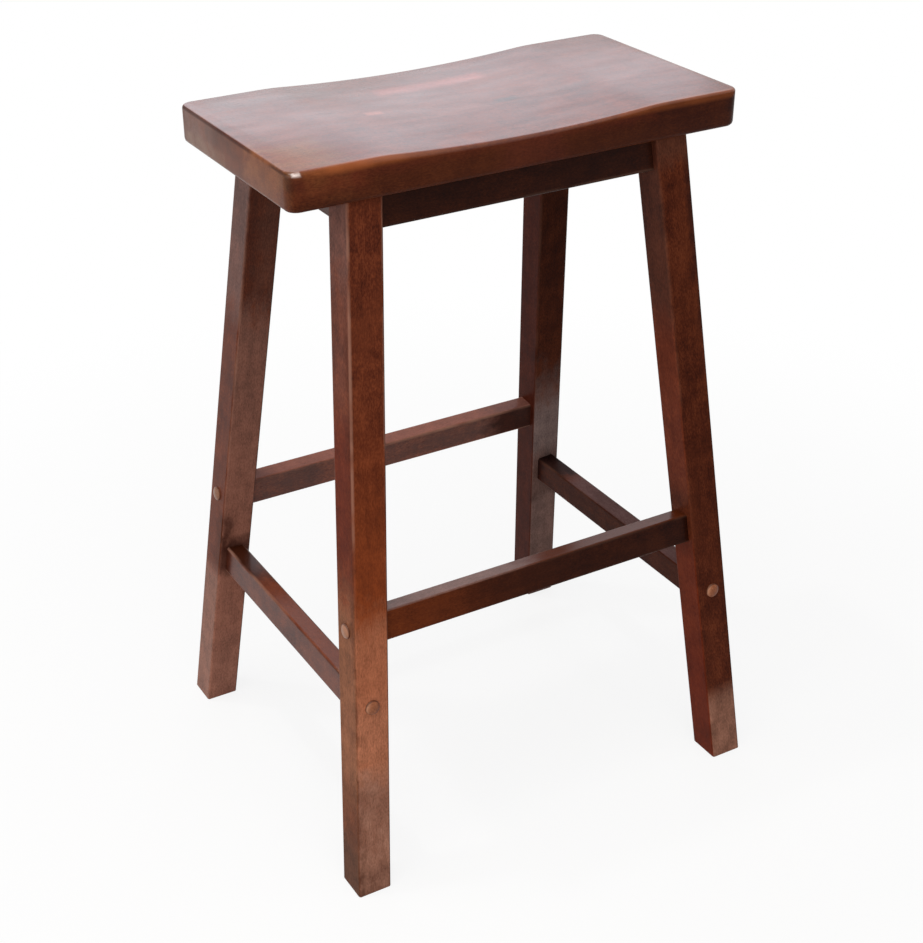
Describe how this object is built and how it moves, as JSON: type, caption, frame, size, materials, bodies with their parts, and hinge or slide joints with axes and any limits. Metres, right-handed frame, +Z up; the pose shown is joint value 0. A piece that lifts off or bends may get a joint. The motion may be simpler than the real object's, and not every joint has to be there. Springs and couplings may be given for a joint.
{
  "type": "saddle stool",
  "caption": "Bar-height wooden saddle stool: a dished plank seat on splayed square legs joined by aprons and stretchers.",
  "frame": {"origin": "on the floor, under the middle of the seat", "axes": "+X along the seat's long side, -Y the front, +Z up"},
  "size_m": [0.489, 0.4262, 0.737],
  "materials": {
    "seat_wood": "dark reddish-brown stain under satin lacquer",
    "frame_wood": "dark reddish-brown stain under satin lacquer",
    "plug_wood": "lighter brown stain under satin lacquer",
    "raw_wood": "bare sawn hardwood",
    "screw_steel": "plain zinc-plated steel"
  },
  "bodies": {
    "root": {"seat": "seat_wood", "leg_front_left": "frame_wood", "leg_front_right": "frame_wood", "leg_back_left": "frame_wood", "leg_back_right": "frame_wood", "apron_front": "frame_wood", "apron_back": "frame_wood", "apron_left": "frame_wood", "apron_right": "frame_wood", "stretcher_front": "frame_wood", "stretcher_back": "frame_wood", "stretcher_left": "frame_wood", "stretcher_right": "frame_wood", "corner_block_front_left": "raw_wood", "corner_block_front_right": "raw_wood", "corner_block_back_left": "raw_wood", "corner_block_back_right": "raw_wood", "button_plugs": "plug_wood", "stretcher_screws": "screw_steel", "block_screws": "screw_steel", "seat_screws": "screw_steel"}
  },
  "joints": []
}
